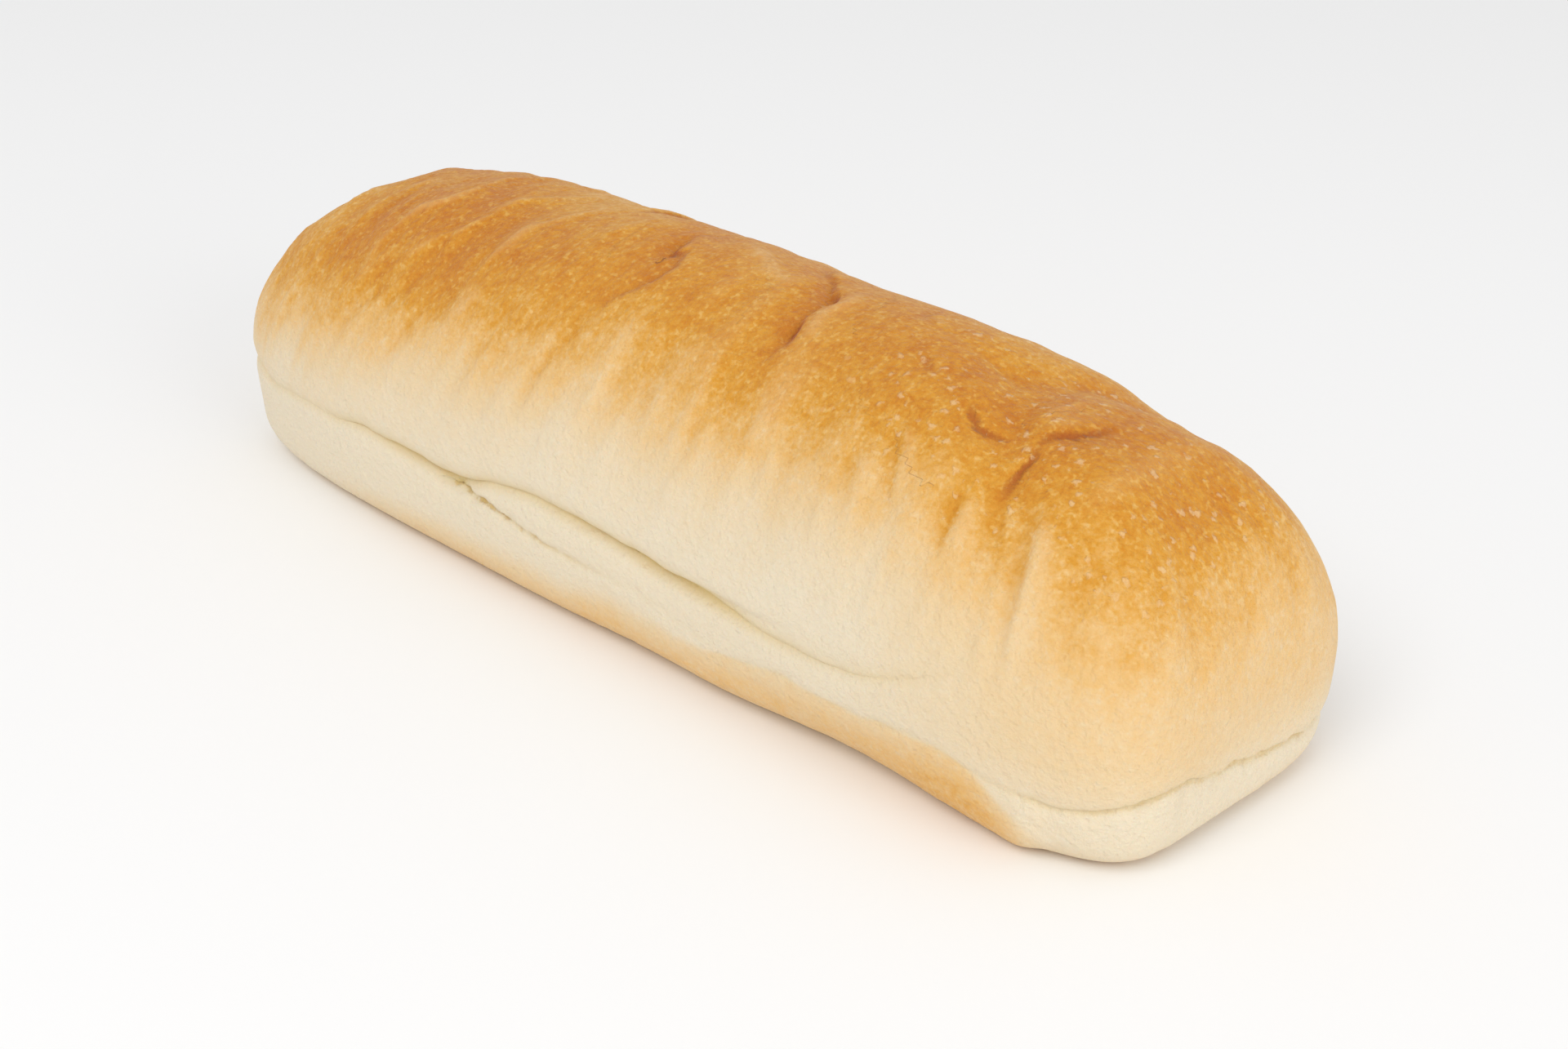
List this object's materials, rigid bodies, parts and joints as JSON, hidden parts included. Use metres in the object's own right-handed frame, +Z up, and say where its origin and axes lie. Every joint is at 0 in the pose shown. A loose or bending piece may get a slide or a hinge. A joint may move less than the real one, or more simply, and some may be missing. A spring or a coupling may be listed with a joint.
{
  "type": "submarine roll",
  "caption": "Whole soft submarine roll, baked in one piece, with a browned domed crown over a pale lip and a flat base to rest on.",
  "frame": {"origin": "middle of the flat base, on the surface the roll rests on", "axes": "+X along the roll, +Z up from the base to the crown, +Y across the roll"},
  "size_m": [0.2, 0.065, 0.0555],
  "materials": {
    "crust": "matte"
  },
  "bodies": {
    "root": {"submarine_roll": "crust"}
  },
  "joints": []
}
